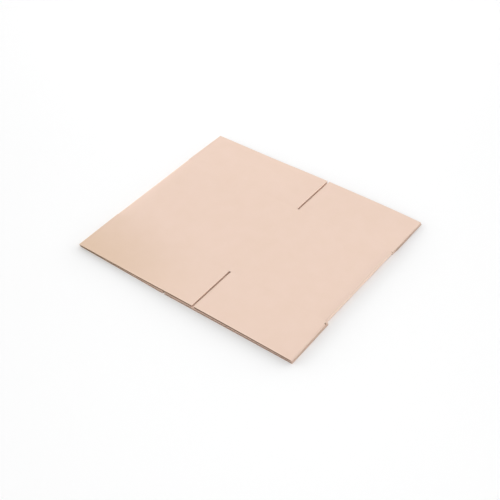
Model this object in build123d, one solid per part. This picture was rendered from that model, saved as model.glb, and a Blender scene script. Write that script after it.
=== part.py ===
"""Flattened cardboard box: a slotted carton folded flat, as it is stored before it is set up.

One blank of corrugated board is folded at two opposite creases and glued to itself along a tab.
The upper layer is the long panel and the short panel beside it. The lower layer is the other short
panel and the other long panel, which meet at the glued seam. Each panel has a flap in front and behind.

The sheet is modelled about the middle of its panels, then centred over the origin on the floor.
X runs across the folded panels, Y along the flutes from front to back and Z up.
"""

import os
from math import floor

from build123d import *

# Blank, from crease to crease
long_panel = 201.0
short_panel = 153.0
panel_height = 155.5
flap_length = 77.0

# Board: two liners and the fluted medium between them
board = 2.5
liner = 0.4
medium = 0.4
flute_pitch = 6.6
flute_glue_line = 1.2
flap_side_wall = 0.5

# Folded layers: the lower one lies a little forward of the upper one
layer_gap = 0.6
layer_creep = 1.4

# Folds, where the sleeve tapers to a blunt nose
fold_taper = 3.0
fold_nose = 3.0
fold_radius = 1.5

# Slots between the flaps, which stand to the right of the creases, and the butted seam of the lower layer
slot_width = 3.0
slot_shift = 1.3
seam_width = 1.2

# Outer edges of the flaps, behind the left fold and past the right fold, where the lower ones reach further
left_setback = 0.8
right_overhang = 1.8
lower_overhang = 2.8

# Scored creases, and the board crushed flat beside a flap's crease
crease_width = 3.0
crease_depth = 0.3
crushed_width = 3.0

# Glue tab, pressed thin between the layers
tab_width = 30.0
tab_lap = 5.0
tab_taper = 12.0
tab_end_clearance = 2.0
tab_clearance = 0.15

# Cuts run past the faces that they open
overrun = 1.0

sleeve_width = long_panel + short_panel
flat_thickness = 2 * board + layer_gap
left_fold = -sleeve_width / 2
right_fold = sleeve_width / 2
upper_crease = left_fold + long_panel
lower_seam = left_fold + short_panel
upper_floor = board + layer_gap


def plain_section(width):
    """Section of a board of this width, centred on X and standing on Y zero, with its flutes crushed."""
    return Rectangle(width, board, align=(Align.CENTER, Align.MIN))


def flute_channel():
    """Section of one open channel, centred on X: wide on its liner, narrow under the medium's crest."""
    foot = (flute_pitch - flute_glue_line) / 2
    crest = flute_glue_line / 2
    rise = board - 2 * liner - medium
    outline = Polyline((-foot, 0), (foot, 0), (crest, rise), (-crest, rise), close=True)
    return make_face(outline)


def fluted_section(width):
    """Section of a board of this width with its flutes open, in turn on the lower and the upper liner."""
    on_lower = flute_channel()
    on_upper = mirror(on_lower, about=Plane.XZ)
    foot_width = flute_pitch - flute_glue_line
    count = floor((width - 2 * flap_side_wall - foot_width) / flute_pitch) + 1
    first = -(count - 1) * flute_pitch / 2
    between = first + flute_pitch / 2
    lower = [Pos(first + i * flute_pitch, liner) * on_lower for i in range(count)]
    upper = [Pos(between + i * flute_pitch, board - liner) * on_upper for i in range(count - 1)]
    return plain_section(width) - lower - upper


def flap(left, right, floor_z, length):
    """Front flap between two X places: crushed beside its crease and open fluted at its cut edge."""
    width = right - left
    hinge = Plane.XZ * Pos((left + right) / 2, floor_z, panel_height / 2)
    crushed = extrude(hinge * plain_section(width), crushed_width)
    fluted_start = hinge * Pos(0, 0, crushed_width)
    fluted = extrude(fluted_start * fluted_section(width), length - crushed_width)
    return crushed + fluted


def front_flaps(lower_length):
    """The four front flaps: an upper pair and, of their own length, a lower pair."""
    outer_left = left_fold + left_setback
    upper_right = right_fold + right_overhang
    lower_right = right_fold + lower_overhang
    upper_slot = upper_crease + slot_shift
    lower_slot = lower_seam + slot_shift
    half_slot = slot_width / 2
    return [
        flap(outer_left, upper_slot - half_slot, upper_floor, flap_length),
        flap(upper_slot + half_slot, upper_right, upper_floor, flap_length),
        flap(outer_left, lower_slot - half_slot, 0, lower_length),
        flap(lower_slot + half_slot, lower_right, 0, lower_length),
    ]


def flaps():
    """All eight flaps. The lower layer's creep lengthens it in front and shortens it behind."""
    behind = front_flaps(flap_length - layer_creep)
    return front_flaps(flap_length + layer_creep) + [mirror(one, about=Plane.XZ) for one in behind]


def sleeve_outline():
    """Section of the folded panels, filled in: a flat bar that tapers to a rounded nose at each fold."""
    top = flat_thickness / 2
    nose = fold_nose / 2
    shoulder = right_fold - fold_taper
    outline = Polyline(
        (right_fold, -nose),
        (right_fold, nose),
        (shoulder, top),
        (-shoulder, top),
        (left_fold, nose),
        (left_fold, -nose),
        (-shoulder, -top),
        (shoulder, -top),
        close=True,
    )
    bar = make_face(outline)
    return fillet(bar.vertices(), fold_radius)


def panels():
    """The four panels as one flattened sleeve with the gap between its layers."""
    gap = SlotOverall(sleeve_width - 2 * board, layer_gap)
    section = Pos(0, flat_thickness / 2) * (sleeve_outline() - gap)
    back = Plane.XZ.offset(-panel_height / 2)
    return extrude(back * section, panel_height)


def seam():
    """Gap between the butted edges of the lower panels."""
    return Pos(lower_seam, 0, 0) * Box(
        seam_width, panel_height, board, align=(Align.CENTER, Align.CENTER, Align.MIN)
    )


def glue_tab():
    """Tab of the lower long panel, lying on the inside of the lower short panel."""
    half_length = panel_height / 2 - tab_end_clearance
    root = lower_seam + tab_lap
    tip = lower_seam - tab_width
    outline = Polyline(
        (root, -half_length),
        (root, half_length),
        (lower_seam, half_length),
        (tip, half_length - tab_taper),
        (tip, tab_taper - half_length),
        (lower_seam, -half_length),
        close=True,
    )
    return Pos(0, 0, board) * extrude(make_face(outline), layer_gap - tab_clearance)


def crease(length):
    """Round-bottomed groove along X, to be cut from a face at Z zero."""
    radius = (crease_width**2 / 4 + crease_depth**2) / (2 * crease_depth)
    return Pos(0, 0, radius - crease_depth) * Rot(0, 90, 0) * Cylinder(radius, length)


def creases():
    """Grooves at the hinge of every flap, above and below, and between the two upper panels."""
    across = crease(sleeve_width + 2 * (lower_overhang + overrun))
    along = Rot(0, 0, 90) * crease(panel_height)
    hinges = [-panel_height / 2, panel_height / 2]
    upper = [Pos(0, hinge, flat_thickness) * across for hinge in hinges]
    lower = [Pos(0, hinge, 0) * mirror(across, about=Plane.XY) for hinge in hinges]
    return upper + lower + [Pos(upper_crease, 0, flat_thickness) * along]


sheet = panels() - seam() + glue_tab() + flaps() - creases()
centring = Pos(-lower_overhang / 2, layer_creep / 2, 0)
flattened_box = centring * sheet
flattened_box.label = "flattened_box"

os.makedirs("parts", exist_ok=True)
export_step(flattened_box, "parts/flattened_box.step")
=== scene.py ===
"""Flattened cardboard box: a corrugated blank is cut flat, folded twice and laid on a studio floor."""

import math

import bmesh
import bpy
from bpy.props import FloatProperty, FloatVectorProperty, IntProperty, PointerProperty
from mathutils import Matrix, Vector


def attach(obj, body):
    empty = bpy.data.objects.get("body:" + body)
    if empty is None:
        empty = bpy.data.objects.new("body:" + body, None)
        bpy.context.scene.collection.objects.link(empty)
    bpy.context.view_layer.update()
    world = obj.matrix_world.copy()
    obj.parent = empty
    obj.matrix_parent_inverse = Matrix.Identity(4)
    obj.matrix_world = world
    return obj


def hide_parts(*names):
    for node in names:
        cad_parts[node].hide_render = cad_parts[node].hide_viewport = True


bl_info = {
    "name": "Flattened cardboard box",
    "version": (1, 0, 0),
    "blender": (4, 5, 0),
    "location": "View3D > Sidebar > Carton",
    "description": "Cuts, folds and finishes a flat corrugated carton on a studio floor",
    "category": "Object",
}

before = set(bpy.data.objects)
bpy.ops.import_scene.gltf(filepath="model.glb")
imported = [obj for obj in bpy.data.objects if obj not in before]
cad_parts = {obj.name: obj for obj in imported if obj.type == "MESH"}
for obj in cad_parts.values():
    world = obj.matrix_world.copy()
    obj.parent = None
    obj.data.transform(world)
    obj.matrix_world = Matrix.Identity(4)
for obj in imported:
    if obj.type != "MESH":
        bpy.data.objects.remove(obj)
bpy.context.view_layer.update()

BOARD_PIECE = "folded_board"
CAD_NODE = "flattened_box"
# Material slots. The liner paper also goes on the lower layer's cut ends and the flaps' side walls as painted light;
# the fluting paper also goes on the liners' flute sides and the upper layer's cut ends as painted shade.
LINER_AND_PAINTED_LIGHT_FACES, FLUTING_AND_PAINTED_SHADE_FACES = 0, 1

# Tolerance of a cut, share of a normal that makes a face look one way, and angle of a sharp edge
ON_LINE = 1e-6
FACING = 0.5
SHARP_ANGLE = math.radians(40)

# Lines across a crease, as shares of its width
CREASE_LINES = (-0.5, -0.25, 0.0, 0.25, 0.5)

# Dents along a fold, as run in metres and phase, and the power by which a corner's crush falls off
SLOW_DENT = (0.0113, 0.7)
QUICK_DENT = (0.0041, 2.1)
CORNER_FALLOFF = 4

# Glue tab: share of its width that laps the panel, share of its length that is left at its tip,
# its lift off the board in liners and the room at its two ends in seam widths
TAB_LAP = 1 / 6
TAB_TIP = 0.85
TAB_LIFT = 0.1
TAB_ROOM = 4

# Paper: sheen, fibre relief in metres, and for each paper its roughness, cloud scale and bump
PAPER_SPECULAR = 0.5
FIBRE_RELIEF = 0.0001
LINER_FINISH = (0.8, 45.0, 0.25)
FLUTING_FINISH = (0.95, 90.0, 0.35)

# Fibres: scale, stretch along X and share in the clouds, and the range of the clouds' sum
FIBRE_SCALE = 900.0
FIBRE_STRETCH = (0.25, 1.0, 1.0)
FIBRES_IN_CLOUDS = 0.35
CLOUD_RANGE = (0.45, 0.95)

# Painted shade at the left front corner: shift that brings it to the origin, stretch and reach
PAINTED_SHADE_SHIFT = (0.089, 0.155, 0.0)
PAINTED_SHADE_STRETCH = (0.5, 1.0, 1.0)
PAINTED_SHADE_REACH = 0.12

# Height of the walls of light, as the Z of a direction, and the camera's sensor and clipping
BAND_FULL, BAND_END = 0.15, 0.5
SENSOR_WIDTH = 36.0
CLIP_START, CLIP_END = 0.01, 100.0


def length(name, description, default):
    """Property for a length in metres."""
    return FloatProperty(
        name=name, description=description, default=default, min=0.0, precision=5, unit="LENGTH", subtype="DISTANCE"
    )


def colour(name, description, default):
    """Property for a linear colour."""
    return FloatVectorProperty(
        name=name, description=description, default=default, size=3, min=0.0, max=1.0, subtype="COLOR"
    )


def fraction(name, description, default):
    """Property for a part of a whole."""
    return FloatProperty(
        name=name, description=description, default=default, min=0.0, max=1.0, precision=3, subtype="FACTOR"
    )


def angle(name, description, default_degrees):
    """Property for an angle, given in degrees."""
    return FloatProperty(
        name=name, description=description, default=math.radians(default_degrees), unit="ROTATION", subtype="ANGLE"
    )


class CartonSizes(bpy.types.PropertyGroup):
    """Sizes of the blank, its board and its folds"""

    long_panel: length("Long panel", "Width of a long panel between its creases", 0.201)
    short_panel: length("Short panel", "Width of a short panel between its creases", 0.153)
    panel_height: length("Panel height", "Length of the panels along the flutes", 0.1555)
    flap_length: length("Flap length", "Length of the flaps along the flutes", 0.077)
    board: length("Board", "Thickness of the corrugated board", 0.0025)
    liner: length("Liner", "Thickness of the outer and the inner liner", 0.00035)
    medium: length("Medium", "Thickness of the fluted medium", 0.00028)
    flute_pitch: length("Flute pitch", "Distance from one flute to the next", 0.0066)
    layer_gap: length("Layer gap", "Gap between the folded layers", 0.0006)
    layer_creep: length("Layer creep", "How far the lower flaps lie forward of the upper ones at the seam", 0.0014)
    left_skew: length("Left skew", "How far the lower left flaps turn back at the left fold", 0.0014)
    right_skew: length("Right skew", "How far the lower right flaps turn back at the right fold", 0.0012)
    front_trim: length("Front trim", "How far the left corner of the lower layer stands back in front", 0.001)
    slot_width: length("Slot width", "Width of the slots between the flaps", 0.003)
    slot_shift: length("Slot shift", "How far the slots stand to the right of the creases", 0.0013)
    slot_nick: length("Slot nick", "Cut that frees a flap's corner from the fold", 0.0001)
    torn_place: length("Torn place", "From the right front flap's hinge to its torn patch", 0.003)
    torn_width: length("Torn width", "Width of the patch that has lost its outer liner", 0.002)
    seam_width: length("Seam width", "Gap between the butted panels of the lower layer", 0.0012)
    left_setback: length("Left setback", "How far the flaps end behind the left fold", 0.0003)
    right_overhang: length("Right overhang", "How far the upper flaps pass the right fold", 0.0018)
    lower_overhang: length("Lower overhang", "How far the lower flaps pass the right fold", 0.0028)
    left_taper: length("Left taper", "Width over which the layers close into the left fold", 0.0012)
    right_taper: length("Right taper", "Width over which the layers close into the right fold", 0.002)
    right_bulge: length("Right bulge", "How far the right fold bulges at its middle", 0.0006)
    right_turn: length("Right turn", "How much further the right fold bulges behind than in the middle", 0.0008)
    bulge_reach: length("Bulge reach", "Run of board over which the right fold's bulge builds up", 0.03)
    flap_ease: length("Flap ease", "Run over which a flap behind draws out of the right fold", 0.012)
    fold_waver: length("Fold waver", "Depth of the dents along a fold", 0.00015)
    crease_width: length("Crease width", "Width of a scored crease", 0.0036)
    crease_depth: length("Crease depth", "Depth of a scored crease", 0.00006)
    left_crush: fraction("Left crush", "Share of the thickness that is crushed along the left flaps' edges", 0.22)
    front_crush: fraction("Front crush", "Share of the thickness that is crushed at the right corner in front", 0.15)
    back_crush: fraction("Back crush", "Share of the thickness that is crushed at the right corner behind", 0.45)
    crush_rise: length("Crush rise", "Distance from the middle at which the left flaps are crushed in full", 0.07)
    cut_slant: length("Cut slant", "How far the inner liner stands back from the outer one at a cut", 0.0004)
    slant_reach: length("Slant reach", "How far a slanted cut draws the liners along", 0.003)
    cut_recess: length("Cut recess", "How far the medium stands back from a cut edge", 0.00012)
    side_pinch: length("Side pinch", "How far the outer liner sinks at the right side of the right flaps", 0.0009)
    pinch_reach: length("Pinch reach", "Width of the pinched strip along a flap's side", 0.0014)
    side_recess: length("Side recess", "How far the flute that closes a flap's side stands back", 0.0003)
    cut_wall: length("Cut wall", "Run of the crushed flute that closes a flap's side", 0.0004)
    tab_width: length("Tab width", "Width of the glued tab", 0.03)
    tab_thickness: length("Tab thickness", "Thickness of the pressed tab", 0.0004)
    grid_step: length("Grid step", "Distance between the lines that rule a flat sheet", 0.0125)
    flute_steps: IntProperty(
        name="Flute steps", description="Columns of faces in one flute", default=12, min=6, max=24
    )
    fold_steps: IntProperty(
        name="Fold steps", description="Columns of faces around one fold", default=18, min=8, max=48
    )


class CartonColours(bpy.types.PropertyGroup):
    """Colours of the board"""

    liner: colour("Liner", "Pale kraft paper of the two liners", (0.81, 0.613, 0.51))
    liner_cloud: colour("Liner cloud", "Darker clouds in the liner paper", (0.792, 0.595, 0.482))
    # Painted shade: colour that darkens the paper's left front corner, standing in for the weaker light and sheen
    # there
    tan: colour("Painted shade", "Tint of the paper where light has tanned its left front corner", (0.91, 0.885, 0.8))
    # Painted shade: both fluting browns are darker than the paper's own colour, to darken the flute cavities and the
    # upper layer's cut ends
    fluting_and_painted_shade: colour("Fluting", "Brown paper of the fluted medium", (0.36, 0.235, 0.165))
    fluting_and_painted_shade_cloud: colour("Fluting cloud", "Darker clouds in the medium", (0.32, 0.205, 0.14))


class CartonStage(bpy.types.PropertyGroup):
    """Camera, floor and light"""

    lens: FloatProperty(name="Lens", description="Focal length in millimetres", default=65.12, min=10.0)
    azimuth: angle("Azimuth", "Camera direction around the part", 38.751)
    elevation: angle("Elevation", "Camera height above the floor's plane", 42.599)
    roll: angle("Roll", "Turn of the camera about its own axis", -2.215)
    distance: length("Distance", "From the camera to its aim point", 1.22605)
    aim: FloatVectorProperty(
        name="Aim", description="Point on the floor that the camera looks at",
        default=(0.01523, -0.02271, -0.0014), size=3, unit="LENGTH", subtype="TRANSLATION",
    )
    floor_size: length("Floor size", "Width of the floor", 12.0)
    floor_colour: colour("Floor", "Pale studio floor", (0.97, 0.97, 0.97))
    ambient: FloatProperty(name="Ambient", description="Level of the room's light", default=0.6, min=0.0)
    back_wall: FloatProperty(
        name="Back wall", description="Level of the low wall of light behind the part", default=7.5, min=0.0
    )
    back_wall_azimuth: angle("Back wall azimuth", "Direction of the back wall's middle, from X", 74.0)
    left_wall: FloatProperty(
        name="Left wall", description="Level of the low wall of light to the left", default=8.5, min=0.0
    )
    left_wall_azimuth: angle("Left wall azimuth", "Direction of the left wall's middle, from X", 186.0)
    wall_focus: FloatProperty(
        name="Wall focus", description="How fast a wall of light fades to its sides", default=8.0, min=0.1
    )
    rear_softbox_power: FloatProperty(
        name="Rear softbox power", description="Power of the softbox behind", default=1.56, min=0.0, unit="POWER"
    )
    rear_softbox_place: FloatVectorProperty(
        name="Rear softbox place", description="Middle of the softbox behind", default=(-0.6, 0.85, 0.7), size=3,
        unit="LENGTH", subtype="TRANSLATION",
    )
    top_softbox_power: FloatProperty(
        name="Top softbox power", description="Power of the softbox overhead", default=0.8, min=0.0, unit="POWER"
    )
    top_softbox_place: FloatVectorProperty(
        name="Top softbox place", description="Middle of the softbox overhead", default=(0.3, -0.25, 0.85), size=3,
        unit="LENGTH", subtype="TRANSLATION",
    )
    softbox_size: length("Softbox size", "Width of a softbox", 0.5)


class Blank:
    """Layout of the flat blank, and the way it folds.

    Flat places are u along the row of panels, v along the flutes and depth into the board from its outside.
    From u zero the row is the lower short panel, the left fold, the two upper panels, the right fold and
    the lower long panel, which ends at the seam where it began.
    """

    def __init__(self, sizes):
        self.sizes = sizes
        s = sizes
        half_sleeve = (s.long_panel + s.short_panel) / 2
        left_fold, right_fold = -half_sleeve, half_sleeve
        lower_seam = left_fold + s.short_panel
        upper_crease = left_fold + s.long_panel
        self.top = 2 * s.board + s.layer_gap
        self.hinge = s.panel_height / 2
        self.edge = self.hinge + s.flap_length
        self.centring = Vector((-s.lower_overhang / 2, s.layer_creep / 2, 0))
        self.left_shoulder = left_fold + s.left_taper
        self.right_shoulder = right_fold - s.right_taper

        left_flap_reach = s.left_taper - s.left_setback
        upper_reach = s.right_taper + s.right_overhang
        lower_reach = s.right_taper + s.lower_overhang
        self.left_zone_start = lower_seam - s.seam_width / 2 - self.left_shoulder
        self.left_zone_end = self.left_zone_start + 2 * left_flap_reach + s.slot_width
        self.right_zone_start = self.left_zone_end + self.right_shoulder - self.left_shoulder
        self.right_zone_end = self.right_zone_start + upper_reach + s.slot_width + lower_reach
        self.end = self.right_zone_end + self.right_shoulder - lower_seam - s.seam_width / 2
        self.left_middle = (self.left_zone_start + self.left_zone_end) / 2
        self.right_middle = self.right_zone_start + upper_reach + s.slot_width / 2

        half_slot = s.slot_width / 2
        lower_slot = lower_seam + s.slot_shift
        self.flap_start = self.left_zone_start - (lower_slot - half_slot - self.left_shoulder)
        self.flap_end = self.right_zone_end + self.right_shoulder - (lower_slot + half_slot)
        self.crease = self.left_zone_end + upper_crease - self.left_shoulder
        upper_slot = self.crease + s.slot_shift
        self.slots = [
            (middle - half_slot, middle + half_slot)
            for middle in (self.left_middle, upper_slot, self.right_middle)
        ]
        self.start = min(0.0, self.flap_start)
        self.lower_seam = lower_seam
        self.right_fold = right_fold

    def flap_spans(self):
        """The stretches of u that the four pairs of flaps take up."""
        edges = [self.flap_start] + [place for slot in self.slots for place in slot] + [self.flap_end]
        return list(zip(edges[::2], edges[1::2]))

    def is_upper(self, u):
        """Whether this place is in the upper layer."""
        return self.left_middle < u < self.right_middle

    def is_side_wall(self, u):
        """Whether this place is in the crushed wall along a flap's side."""
        reach = self.sizes.side_recess + self.sizes.cut_wall
        return any(low < u < low + reach or high - reach < u < high for low, high in self.flap_spans())

    def zones(self):
        """The two stretches of u that bend around a fold."""
        return [(self.left_zone_start, self.left_zone_end), (self.right_zone_start, self.right_zone_end)]

    def is_cut_away(self, u, v, recess):
        """Whether this place is open: in a slot, past the seam or in the nick beside a fold."""
        past_hinge = abs(v) - self.hinge
        if past_hinge > 0:
            if any(low - recess < u < high + recess for low, high in self.slots):
                return True
            return u < self.flap_start + recess or u > self.flap_end - recess
        if past_hinge > -self.sizes.slot_nick and any(low < u < high for low, high in self.zones()):
            return True
        return u < recess or u > self.end - recess

    def is_torn(self, u, v):
        """Whether the upper right front flap has lost its outer liner at this place."""
        s = self.sizes
        slot = self.slots[-1][0]
        past_place = -v - self.hinge - s.torn_place
        return 0 < past_place < s.torn_width and slot - s.torn_width < u < slot

    def groove(self, u, v):
        """Depth of the scored creases at this place."""
        s = self.sizes
        half = s.crease_width / 2
        distances = [abs(abs(v) - self.hinge)]
        if abs(v) < self.hinge:
            distances.append(abs(u - self.crease))
        nearest = min(distances)
        if nearest >= half:
            return 0.0
        return s.crease_depth * (1 + math.cos(math.pi * nearest / half)) / 2

    def waver(self, v):
        """Shallow dents along a fold, where the flutes were crushed."""
        slow, quick = (math.sin(v / run + phase) for run, phase in (SLOW_DENT, QUICK_DENT))
        return self.sizes.fold_waver * (2 + slow + quick) / 4

    def folded(self, place):
        """Place in the part's frame of a point of the flat blank, whose Z is minus its depth."""
        s = self.sizes
        u, v, depth = place.x, place.y, -place.z
        y = self.slanted(v, depth)
        depth += self.groove(u, v) * (1 - depth / s.board)
        is_flap = abs(v) > self.hinge - s.slot_nick / 2
        if is_flap:
            depth = self.pinched(u, depth)
        if self.left_zone_start < u < self.left_zone_end and not is_flap:
            turn = math.pi * (self.left_zone_end - u) / (self.left_zone_end - self.left_zone_start)
            reach, z = self.around_fold(turn, v, depth, s.left_taper)
            x = self.left_shoulder - reach
        elif self.right_zone_start < u < self.right_zone_end and not is_flap:
            turn = math.pi * (u - self.right_zone_start) / (self.right_zone_end - self.right_zone_start)
            reach, z = self.around_fold(turn, v, depth, s.right_taper)
            x = self.right_shoulder + reach
        elif self.is_upper(u):
            x, z = self.left_shoulder + u - self.left_zone_end, self.top - depth
        else:
            x, creep = self.lower_place(u, v)
            y, z = y - creep, depth
        x = self.flap_swell(x, v) if is_flap else self.panel_swell(x, v)
        return Vector((x, y, z * self.crush(x, v))) + self.centring

    def lower_place(self, u, v):
        """Place across the lower layer, and how far its flaps lie forward of the upper ones there."""
        s = self.sizes
        if u < self.left_middle:
            x = self.left_shoulder + self.left_zone_start - u
            trim = s.front_trim if v < 0 else 0.0
            skew = (s.left_skew + trim) * (self.lower_seam - x) / s.short_panel
        else:
            x = self.right_shoulder - (u - self.right_zone_end)
            skew = s.right_skew * (x - self.lower_seam) / s.long_panel
        along = max(0.0, abs(v) - self.hinge) / s.flap_length
        return x, (s.layer_creep - skew) * along

    def bulge(self, v):
        """How far the right fold bulges at this place along it, or at the end of it that is nearer."""
        return self.sizes.right_bulge + self.sizes.right_turn * max(-1.0, min(1.0, v / self.hinge))

    def panel_swell(self, x, v):
        """Place across the panels after the right fold has bulged and drawn the board along."""
        lead = 1 + (x - self.right_shoulder) / self.sizes.bulge_reach
        return x + self.bulge(v) * max(0.0, min(1.0, lead))

    def flap_swell(self, x, v):
        """Place across the flaps, which follow the bulge at their root and keep their outer edge."""
        s = self.sizes
        past_hinge = max(0.0, abs(v) - self.hinge)
        fade = max(0.0, 1 - past_hinge / s.bulge_reach)
        outside = (x - self.right_shoulder) / (s.right_taper + s.lower_overhang)
        if outside < 0:
            return x + (self.panel_swell(x, v) - x) * fade
        x += self.bulge(v) * fade * (1 - outside)
        nose = self.right_fold + self.bulge(v)
        if v > 0 and x > nose:
            x = nose + (x - nose) * min(1.0, past_hinge / s.flap_ease)
        return x

    def pinched(self, u, depth):
        """Depth of a point of a flap, where the outer liner sinks towards the inner one at the right side."""
        s = self.sizes
        low, high = self.slots[-1]
        share = max(0.0, 1 - max(low - u, u - high) / s.pinch_reach)
        return depth + s.side_pinch * share**2 * (1 - depth / s.board)

    def slanted(self, v, depth):
        """Place along v of a point of a flap after the slanted cut, which trims the inner liner more."""
        s = self.sizes
        tip = max(0.0, 1 - (self.edge - abs(v)) / s.slant_reach)
        return v - math.copysign(s.cut_slant * tip * depth / s.board, v)

    def around_fold(self, turn, v, depth, taper):
        """Reach past the shoulder and height of a point that turns from the upper to the lower layer."""
        reach = taper - depth - self.waver(v) * math.sin(turn)
        half = self.top / 2 - depth
        return reach * math.sin(turn), self.top / 2 + half * math.cos(turn)

    def crush(self, x, v):
        """Share of the thickness that is left at this place: less at the flaps' edges and corners."""
        s = self.sizes
        along = max(0.0, abs(v) - self.hinge) / s.flap_length
        if x < 0:
            return 1 - s.left_crush * along * min(1.0, -x / s.crush_rise)
        at_corner = s.front_crush if v < 0 else s.back_crush
        return 1 - at_corner * along * (x / self.right_fold) ** CORNER_FALLOFF


def spaced(low, high, step):
    """Evenly spaced places strictly between two ends, about this far apart."""
    count = max(1, round((high - low) / step))
    return [low + (high - low) * i / count for i in range(1, count)]


def rule_sheet(sheet, along_u, along_v):
    """Cuts a flat sheet along straight lines at these places."""
    for normal, places in (((1, 0, 0), along_u), ((0, 1, 0), along_v)):
        for place in places:
            bmesh.ops.bisect_plane(
                sheet,
                geom=sheet.verts[:] + sheet.edges[:] + sheet.faces[:],
                dist=ON_LINE,
                plane_co=Vector(normal) * place,
                plane_no=normal,
            )


def crease_lines(middle, width):
    """Places that rule one crease."""
    return [middle + width * share for share in CREASE_LINES]


def blank_grid(blank, columns, recess):
    """Flat sheet the size of the blank, in this many columns."""
    sheet = bmesh.new()
    size = (blank.end - blank.start, 2 * (blank.edge - recess), 1.0)
    middle = Vector(((blank.start + blank.end) / 2, 0, 0))
    bmesh.ops.create_grid(
        sheet,
        x_segments=columns,
        y_segments=1,
        size=0.5,
        matrix=Matrix.Translation(middle) @ Matrix.Diagonal((*size, 1.0)),
    )
    return sheet


def cut_slots(sheet, blank, recess, is_outer):
    """Takes away the slots, the nicks, what lies past the seam and, from the outer liner, the torn patch."""
    open_faces = []
    for face in sheet.faces:
        place = face.calc_center_median()
        is_torn = is_outer and blank.is_torn(place.x, place.y)
        if is_torn or blank.is_cut_away(place.x, place.y, recess):
            open_faces.append(face)
    bmesh.ops.delete(sheet, geom=open_faces, context="FACES")


def cut_places(blank, recess):
    """Places along u where a sheet has a cut edge."""
    places = [blank.flap_start + recess, blank.flap_end - recess, recess, blank.end - recess]
    for low, high in blank.slots:
        places += [low - recess, high + recess]
    return places + [blank.slots[-1][0] - blank.sizes.torn_width]


def hinge_lines(blank):
    """Places along v that rule the hinges of the flaps, the nicks beside the folds and the torn patch."""
    s = blank.sizes
    places = []
    for side in (-1, 1):
        places += crease_lines(side * blank.hinge, s.crease_width)
        places.append(side * (blank.hinge - s.slot_nick))
    torn_start = -blank.hinge - s.torn_place
    return places + [torn_start, torn_start - s.torn_width]


def liner_sheet(blank, depth):
    """One liner of the flat blank, cut to its outline, with its outer face at this depth."""
    s = blank.sizes
    sheet = blank_grid(blank, 1, 0.0)
    along_u = cut_places(blank, 0.0) + crease_lines(blank.crease, s.crease_width)
    for low, high in blank.zones():
        along_u += [low, high] + spaced(low, high, (high - low) / s.fold_steps)
    along_u += spaced(0.0, blank.left_zone_start, s.grid_step)
    along_u += spaced(blank.left_zone_end, blank.right_zone_start, s.grid_step)
    along_u += spaced(blank.right_zone_end, blank.end, s.grid_step)
    along_v = hinge_lines(blank) + spaced(-blank.hinge, blank.hinge, s.grid_step)
    for side in (-1, 1):
        along_v += [side * place for place in spaced(blank.hinge, blank.edge, s.grid_step)]
    rule_sheet(sheet, along_u, along_v)
    cut_slots(sheet, blank, 0.0, depth == 0.0)
    bmesh.ops.solidify(sheet, geom=sheet.faces[:], thickness=s.liner)
    settle_depth(sheet, depth)
    shown_side = 1 if depth == 0.0 else -1
    # Painted shade: the liners' sides that face the flutes and the upper layer's cut ends take the dark fluting
    # paper
    for face in sheet.faces:
        is_hidden = face.normal.z * shown_side < -FACING
        is_end = abs(face.normal.y) > FACING and blank.is_upper(face.calc_center_median().x)
        face.material_index = FLUTING_AND_PAINTED_SHADE_FACES if is_hidden or is_end else LINER_AND_PAINTED_LIGHT_FACES
    return sheet


def settle_depth(sheet, depth):
    """Moves a flat sheet so that its outer face lies at this depth in the board."""
    highest = max(vert.co.z for vert in sheet.verts)
    bmesh.ops.translate(sheet, verts=sheet.verts[:], vec=(0, 0, -depth - highest))


def wall_places(blank, span):
    """The two places along u where a flap's crushed side walls end."""
    inset = blank.sizes.side_recess + blank.sizes.cut_wall
    return span[0] + inset, span[1] - inset


def flute_wave(blank, u):
    """Height of the medium at this place, from -1 on the inner liner to 1 on the outer one."""
    s = blank.sizes
    for span in blank.flap_spans():
        if not span[0] <= u <= span[1]:
            continue
        low, high = wall_places(blank, span)
        if u < low or u > high:
            past = max(low - u, u - high)
            return max(-1.0, 1 - 2 * past / s.cut_wall)
        flutes = round((high - low) / s.flute_pitch)
        return math.cos(2 * math.pi * flutes * (u - low) / (high - low))
    return -1.0


def fluted_sheet(blank):
    """The medium of the flat blank, in waves that run from one liner to the other."""
    s = blank.sizes
    columns = round((blank.end - blank.start) / s.flute_pitch * s.flute_steps)
    sheet = blank_grid(blank, columns, s.cut_recess)
    zone_ends = [place for zone in blank.zones() for place in zone]
    walls = []
    for span in blank.flap_spans():
        low, high = wall_places(blank, span)
        walls += [low - s.cut_wall, low, high, high + s.cut_wall]
    rule_sheet(sheet, cut_places(blank, s.cut_recess) + walls + zone_ends, hinge_lines(blank))
    cut_slots(sheet, blank, s.cut_recess, False)
    bmesh.ops.remove_doubles(sheet, verts=sheet.verts[:], dist=ON_LINE)
    swing = (s.board - 2 * s.liner - s.medium) / 2
    for vert in sheet.verts:
        vert.co.z = -s.board / 2 + swing * flute_wave(blank, vert.co.x)
    bmesh.ops.recalc_face_normals(sheet, faces=sheet.faces[:])
    bmesh.ops.solidify(sheet, geom=sheet.faces[:], thickness=s.medium)
    settle_depth(sheet, s.liner)
    # Painted light: the lower layer's cut ends and the crushed walls along the flaps' sides, except at the torn
    # patch, take the pale liner paper
    for face in sheet.faces:
        place = face.calc_center_median()
        is_lower_end = abs(face.normal.y) > FACING and not blank.is_upper(place.x)
        is_painted_light = is_lower_end or blank.is_side_wall(place.x) and not blank.is_torn(place.x, place.y)
        face.material_index = LINER_AND_PAINTED_LIGHT_FACES if is_painted_light else FLUTING_AND_PAINTED_SHADE_FACES
    return sheet


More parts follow.
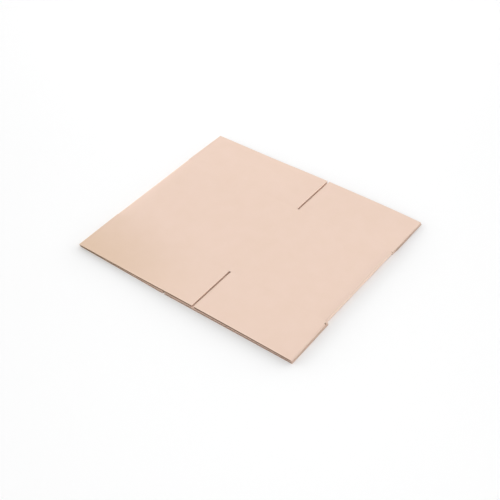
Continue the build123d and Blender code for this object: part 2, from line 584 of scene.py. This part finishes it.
def glue_tab(blank):
    """Pressed tab between the layers, over the seam of the lower panels, in the part's frame."""
    s = blank.sizes
    tab = bmesh.new()
    lap = s.tab_width * TAB_LAP
    size = (s.tab_width + lap, s.panel_height - TAB_ROOM * s.seam_width, s.tab_thickness)
    middle = Vector((blank.lower_seam + lap - size[0] / 2, 0, s.board + size[2] / 2 + s.liner * TAB_LIFT))
    bmesh.ops.create_cube(tab, size=1.0, matrix=Matrix.Diagonal((*size, 1.0)))
    tip = [vert for vert in tab.verts if vert.co.x < 0]
    bmesh.ops.scale(tab, verts=tip, vec=(1, TAB_TIP, 1))
    bmesh.ops.translate(tab, verts=tab.verts[:], vec=middle + blank.centring)
    return tab


def add_sheet(board, sheet):
    """Adds the faces of a finished sheet to the board."""
    mesh = bpy.data.meshes.new("sheet")
    sheet.to_mesh(mesh)
    sheet.free()
    board.from_mesh(mesh)
    bpy.data.meshes.remove(mesh)


def shade_board(board):
    """Shades the faces smooth and keeps the cut edges sharp."""
    for face in board.faces:
        face.smooth = True
    for edge in board.edges:
        edge.smooth = edge.calc_face_angle(0.0) < SHARP_ANGLE


def add_node(tree, kind, name, place, **values):
    """Adds a shader node and sets its properties and its inputs."""
    node = tree.nodes.new(kind)
    node.name = node.label = name
    node.location = place
    for key, value in values.items():
        socket = node.inputs.get(key.replace("_", " ").title())
        if socket:
            socket.default_value = value
        else:
            setattr(node, key, value)
    return node


def paper_group():
    """Node group of kraft paper: clouds, fibres along X, a height for bump and a mask of the painted shade at the
    left front corner.
    """
    tree = bpy.data.node_groups.new("Kraft paper", "ShaderNodeTree")
    for name, default in (("Cloud Scale", LINER_FINISH[1]), ("Fibre Scale", FIBRE_SCALE)):
        socket = tree.interface.new_socket(name, in_out="INPUT", socket_type="NodeSocketFloat")
        socket.default_value = default
    for name in ("Cloud", "Height", "Painted shade"):
        tree.interface.new_socket(name, in_out="OUTPUT", socket_type="NodeSocketFloat")
    given = add_node(tree, "NodeGroupInput", "Given", (-900, 0))
    result = add_node(tree, "NodeGroupOutput", "Result", (500, 0))
    place = add_node(tree, "ShaderNodeTexCoord", "Place", (-900, -250))
    stretch = add_node(tree, "ShaderNodeMapping", "Fibre direction", (-700, -250), scale=FIBRE_STRETCH)
    clouds = add_node(tree, "ShaderNodeTexNoise", "Clouds", (-450, 150), detail=4.0, roughness=0.6)
    fibres = add_node(tree, "ShaderNodeTexNoise", "Fibres", (-450, -250), detail=3.0, roughness=0.65)
    blend = add_node(tree, "ShaderNodeMath", "Fibres in clouds", (-150, 50), operation="MULTIPLY_ADD")
    blend.inputs[1].default_value = FIBRES_IN_CLOUDS
    # Painted shade: mask that darkens the paper towards its left front corner, in place of the weaker light and
    # sheen there
    corner = add_node(
        tree, "ShaderNodeMapping", "From the corner", (-700, -550), location=PAINTED_SHADE_SHIFT, scale=PAINTED_SHADE_STRETCH
    )
    distance = add_node(tree, "ShaderNodeVectorMath", "Distance", (-450, -550), operation="LENGTH")
    fade = add_node(tree, "ShaderNodeMapRange", "Painted shade fade", (-150, -550), interpolation_type="SMOOTHSTEP")
    fade.inputs["From Min"].default_value = 0.0
    fade.inputs["From Max"].default_value = PAINTED_SHADE_REACH
    fade.inputs["To Min"].default_value = 1.0
    fade.inputs["To Max"].default_value = 0.0
    link = tree.links.new
    link(place.outputs["Object"], corner.inputs["Vector"])
    link(corner.outputs["Vector"], distance.inputs[0])
    link(distance.outputs["Value"], fade.inputs["Value"])
    link(fade.outputs["Result"], result.inputs["Painted shade"])
    link(place.outputs["Object"], clouds.inputs["Vector"])
    link(place.outputs["Object"], stretch.inputs["Vector"])
    link(stretch.outputs["Vector"], fibres.inputs["Vector"])
    link(given.outputs["Cloud Scale"], clouds.inputs["Scale"])
    link(given.outputs["Fibre Scale"], fibres.inputs["Scale"])
    link(fibres.outputs["Fac"], blend.inputs[0])
    link(clouds.outputs["Fac"], blend.inputs[2])
    link(blend.outputs["Value"], result.inputs["Cloud"])
    link(fibres.outputs["Fac"], result.inputs["Height"])
    return tree


def paper_material(name, group, light, dark, tan, roughness, cloud_scale, bump):
    """Matte paper whose colour drifts between a light and a dark tone, with painted shade at the left front corner.
    """
    material = bpy.data.materials.new(name)
    material.use_nodes = True
    material.diffuse_color = (*light, 1.0)
    tree = material.node_tree
    shader = tree.nodes["Principled BSDF"]
    shader.inputs["Roughness"].default_value = roughness
    shader.inputs["Specular IOR Level"].default_value = PAPER_SPECULAR
    paper = add_node(tree, "ShaderNodeGroup", "Paper", (-900, 100))
    paper.node_tree = group
    paper.inputs["Cloud Scale"].default_value = cloud_scale
    tone = add_node(tree, "ShaderNodeMapRange", "Tone", (-650, 200))
    tone.inputs["From Min"].default_value, tone.inputs["From Max"].default_value = CLOUD_RANGE
    mix = add_node(tree, "ShaderNodeMix", "Paper colour", (-400, 200), data_type="RGBA")
    mix.inputs["A"].default_value = (*light, 1.0)
    mix.inputs["B"].default_value = (*dark, 1.0)
    # Painted shade: the paper colour is multiplied by the shade colour towards the left front corner
    shaded = add_node(tree, "ShaderNodeMix", "Painted shade mix", (-200, 200), data_type="RGBA", blend_type="MULTIPLY")
    shaded.inputs["B"].default_value = (*tan, 1.0)
    relief = add_node(tree, "ShaderNodeBump", "Fibre relief", (-400, -200))
    relief.inputs["Strength"].default_value = bump
    relief.inputs["Distance"].default_value = FIBRE_RELIEF
    link = tree.links.new
    link(paper.outputs["Cloud"], tone.inputs["Value"])
    link(tone.outputs["Result"], mix.inputs["Factor"])
    link(paper.outputs["Painted shade"], shaded.inputs["Factor"])
    link(mix.outputs["Result"], shaded.inputs["A"])
    link(shaded.outputs["Result"], shader.inputs["Base Color"])
    link(paper.outputs["Height"], relief.inputs["Height"])
    link(relief.outputs["Normal"], shader.inputs["Normal"])
    return material


class CARTON_OT_folded_board(bpy.types.Operator):
    """Cut the corrugated blank, fold it flat and give it its paper"""

    bl_idname = "carton.folded_board"
    bl_label = "Folded board"

    def execute(self, context):
        sizes = context.scene.carton_sizes
        colours = context.scene.carton_colours
        blank = Blank(sizes)
        board = bmesh.new()
        add_sheet(board, liner_sheet(blank, 0.0))
        add_sheet(board, liner_sheet(blank, sizes.board - sizes.liner))
        add_sheet(board, fluted_sheet(blank))
        for vert in board.verts:
            vert.co = blank.folded(vert.co)
        add_sheet(board, glue_tab(blank))
        shade_board(board)
        mesh = bpy.data.meshes.new(BOARD_PIECE)
        board.to_mesh(mesh)
        board.free()
        group = paper_group()
        liner = (colours.liner, colours.liner_cloud, colours.tan)
        fluting_and_painted_shade = (colours.fluting_and_painted_shade, colours.fluting_and_painted_shade_cloud, colours.tan)
        # The liner material also paints light on cut ends and side walls; the fluting material also paints shade in
        # the flutes and on the upper cut ends
        mesh.materials.append(paper_material("Kraft liner and painted light", group, *liner, *LINER_FINISH))
        mesh.materials.append(paper_material("Fluting medium and painted shade", group, *fluting_and_painted_shade, *FLUTING_FINISH))
        piece = bpy.data.objects.new(BOARD_PIECE, mesh)
        context.scene.collection.objects.link(piece)
        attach(piece, "root")
        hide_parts(CAD_NODE)
        return {"FINISHED"}


def place_camera(stage):
    """Camera at the viewing angle of the picture, with the scene's camera set to it."""
    around, up = stage.azimuth, stage.elevation
    back = Vector((math.sin(around) * math.cos(up), -math.cos(around) * math.cos(up), math.sin(up)))
    level_right = Vector((math.cos(around), math.sin(around), 0))
    level_up = back.cross(level_right)
    right = level_right * math.cos(stage.roll) + level_up * math.sin(stage.roll)
    upward = back.cross(right)
    data = bpy.data.cameras.new("Camera")
    data.lens = stage.lens
    data.sensor_width = SENSOR_WIDTH
    data.clip_start, data.clip_end = CLIP_START, CLIP_END
    camera = bpy.data.objects.new("Camera", data)
    turn = Matrix((right, upward, back)).transposed().to_4x4()
    camera.matrix_world = Matrix.Translation(Vector(stage.aim) + back * stage.distance) @ turn
    bpy.context.scene.collection.objects.link(camera)
    bpy.context.scene.camera = camera


def add_softbox(name, place, width, power):
    """Square softbox that faces the part."""
    data = bpy.data.lights.new(name, "AREA")
    data.shape = "SQUARE"
    data.size = width
    data.energy = power
    lamp = bpy.data.objects.new(name, data)
    turn = Vector(place).to_track_quat("Z", "Y").to_matrix().to_4x4()
    lamp.matrix_world = Matrix.Translation(place) @ turn
    lamp.visible_camera = False
    bpy.context.scene.collection.objects.link(lamp)


def add_low_wall(tree, direction, title, row, azimuth, level, focus):
    """Level of a wall of light in each direction, brightest towards its azimuth."""
    towards = add_node(tree, "ShaderNodeVectorMath", f"Towards {title}", (-900, row), operation="DOT_PRODUCT")
    towards.inputs[1].default_value = (math.cos(azimuth), math.sin(azimuth), 0)
    share = add_node(tree, "ShaderNodeMapRange", f"Share of {title}", (-700, row))
    share.inputs["From Min"].default_value = -1.0
    fade = add_node(tree, "ShaderNodeMath", f"Fade of {title}", (-500, row), operation="POWER")
    fade.inputs[1].default_value = focus
    strength = add_node(tree, "ShaderNodeMath", f"Level of {title}", (-300, row), operation="MULTIPLY")
    strength.inputs[1].default_value = level
    link = tree.links.new
    link(direction, towards.inputs[0])
    link(towards.outputs["Value"], share.inputs["Value"])
    link(share.outputs["Result"], fade.inputs[0])
    link(fade.outputs["Value"], strength.inputs[0])
    return strength.outputs["Value"]


def light_room(stage):
    """Pale room with low walls of light behind the part and to its left."""
    world = bpy.data.worlds.new("Room")
    bpy.context.scene.world = world
    world.use_nodes = True
    tree = world.node_tree
    tree.nodes.clear()
    place = add_node(tree, "ShaderNodeTexCoord", "Direction", (-1100, 0))
    direction = place.outputs["Generated"]
    back = add_low_wall(tree, direction, "back", 300, stage.back_wall_azimuth, stage.back_wall, stage.wall_focus)
    left = add_low_wall(tree, direction, "left", 100, stage.left_wall_azimuth, stage.left_wall, stage.wall_focus)
    walls = add_node(tree, "ShaderNodeMath", "Both walls", (-100, 200), operation="ADD")
    height = add_node(tree, "ShaderNodeSeparateXYZ", "Height", (-900, -150))
    fall = add_node(tree, "ShaderNodeMapRange", "Low band", (-700, -150), interpolation_type="SMOOTHSTEP")
    fall.inputs["From Min"].default_value = BAND_FULL
    fall.inputs["From Max"].default_value = BAND_END
    fall.inputs["To Min"].default_value = 1.0
    fall.inputs["To Max"].default_value = 0.0
    room = add_node(tree, "ShaderNodeMath", "Room and walls", (100, 0), operation="MULTIPLY_ADD")
    room.inputs[2].default_value = stage.ambient
    background = add_node(tree, "ShaderNodeBackground", "Room light", (300, 0), color=(1.0, 1.0, 1.0, 1.0))
    output = add_node(tree, "ShaderNodeOutputWorld", "World", (500, 0))
    link = tree.links.new
    link(back, walls.inputs[0])
    link(left, walls.inputs[1])
    link(direction, height.inputs["Vector"])
    link(height.outputs["Z"], fall.inputs["Value"])
    link(walls.outputs["Value"], room.inputs[0])
    link(fall.outputs["Result"], room.inputs[1])
    link(room.outputs["Value"], background.inputs["Strength"])
    link(background.outputs["Background"], output.inputs["Surface"])


def lay_floor(stage):
    """Plain pale floor that keeps the part's shadow."""
    floor = bmesh.new()
    bmesh.ops.create_grid(floor, x_segments=1, y_segments=1, size=stage.floor_size / 2)
    mesh = bpy.data.meshes.new("floor")
    floor.to_mesh(mesh)
    floor.free()
    material = bpy.data.materials.new("Pale floor")
    material.use_nodes = True
    shader = material.node_tree.nodes["Principled BSDF"]
    shader.inputs["Base Color"].default_value = (*stage.floor_colour, 1.0)
    shader.inputs["Roughness"].default_value = 1.0
    shader.inputs["Specular IOR Level"].default_value = 0.0
    mesh.materials.append(material)
    piece = bpy.data.objects.new("floor", mesh)
    bpy.context.scene.collection.objects.link(piece)


class CARTON_OT_stage(bpy.types.Operator):
    """Add the floor, the soft light and the camera"""

    bl_idname = "carton.stage"
    bl_label = "Stage"

    def execute(self, context):
        stage = context.scene.carton_stage
        lay_floor(stage)
        light_room(stage)
        add_softbox("Rear softbox", stage.rear_softbox_place, stage.softbox_size, stage.rear_softbox_power)
        add_softbox("Top softbox", stage.top_softbox_place, stage.softbox_size, stage.top_softbox_power)
        place_camera(stage)
        context.scene.view_settings.view_transform = "Standard"
        return {"FINISHED"}


class CARTON_PT_sidebar(bpy.types.Panel):
    """Sizes, colours and steps of the carton"""

    bl_idname = "CARTON_PT_sidebar"
    bl_label = "Flattened carton"
    bl_space_type = "VIEW_3D"
    bl_region_type = "UI"
    bl_category = "Carton"

    def draw(self, context):
        layout = self.layout
        layout.operator(CARTON_OT_folded_board.bl_idname)
        layout.operator(CARTON_OT_stage.bl_idname)
        for title, group in (
            ("Sizes", context.scene.carton_sizes),
            ("Colours", context.scene.carton_colours),
            ("Stage", context.scene.carton_stage),
        ):
            box = layout.box()
            box.label(text=title)
            for name in group.__annotations__:
                box.prop(group, name)


CLASSES = (
    CartonSizes,
    CartonColours,
    CartonStage,
    CARTON_OT_folded_board,
    CARTON_OT_stage,
    CARTON_PT_sidebar,
)


def register():
    """Registers the classes and puts their settings on the scene."""
    for item in CLASSES:
        bpy.utils.register_class(item)
    bpy.types.Scene.carton_sizes = PointerProperty(type=CartonSizes)
    bpy.types.Scene.carton_colours = PointerProperty(type=CartonColours)
    bpy.types.Scene.carton_stage = PointerProperty(type=CartonStage)


def unregister():
    """Takes the settings and the classes away again."""
    del bpy.types.Scene.carton_stage
    del bpy.types.Scene.carton_colours
    del bpy.types.Scene.carton_sizes
    for item in reversed(CLASSES):
        bpy.utils.unregister_class(item)


def main():
    register()
    bpy.ops.carton.folded_board()
    bpy.ops.carton.stage()


if __name__ == "__main__":
    main()
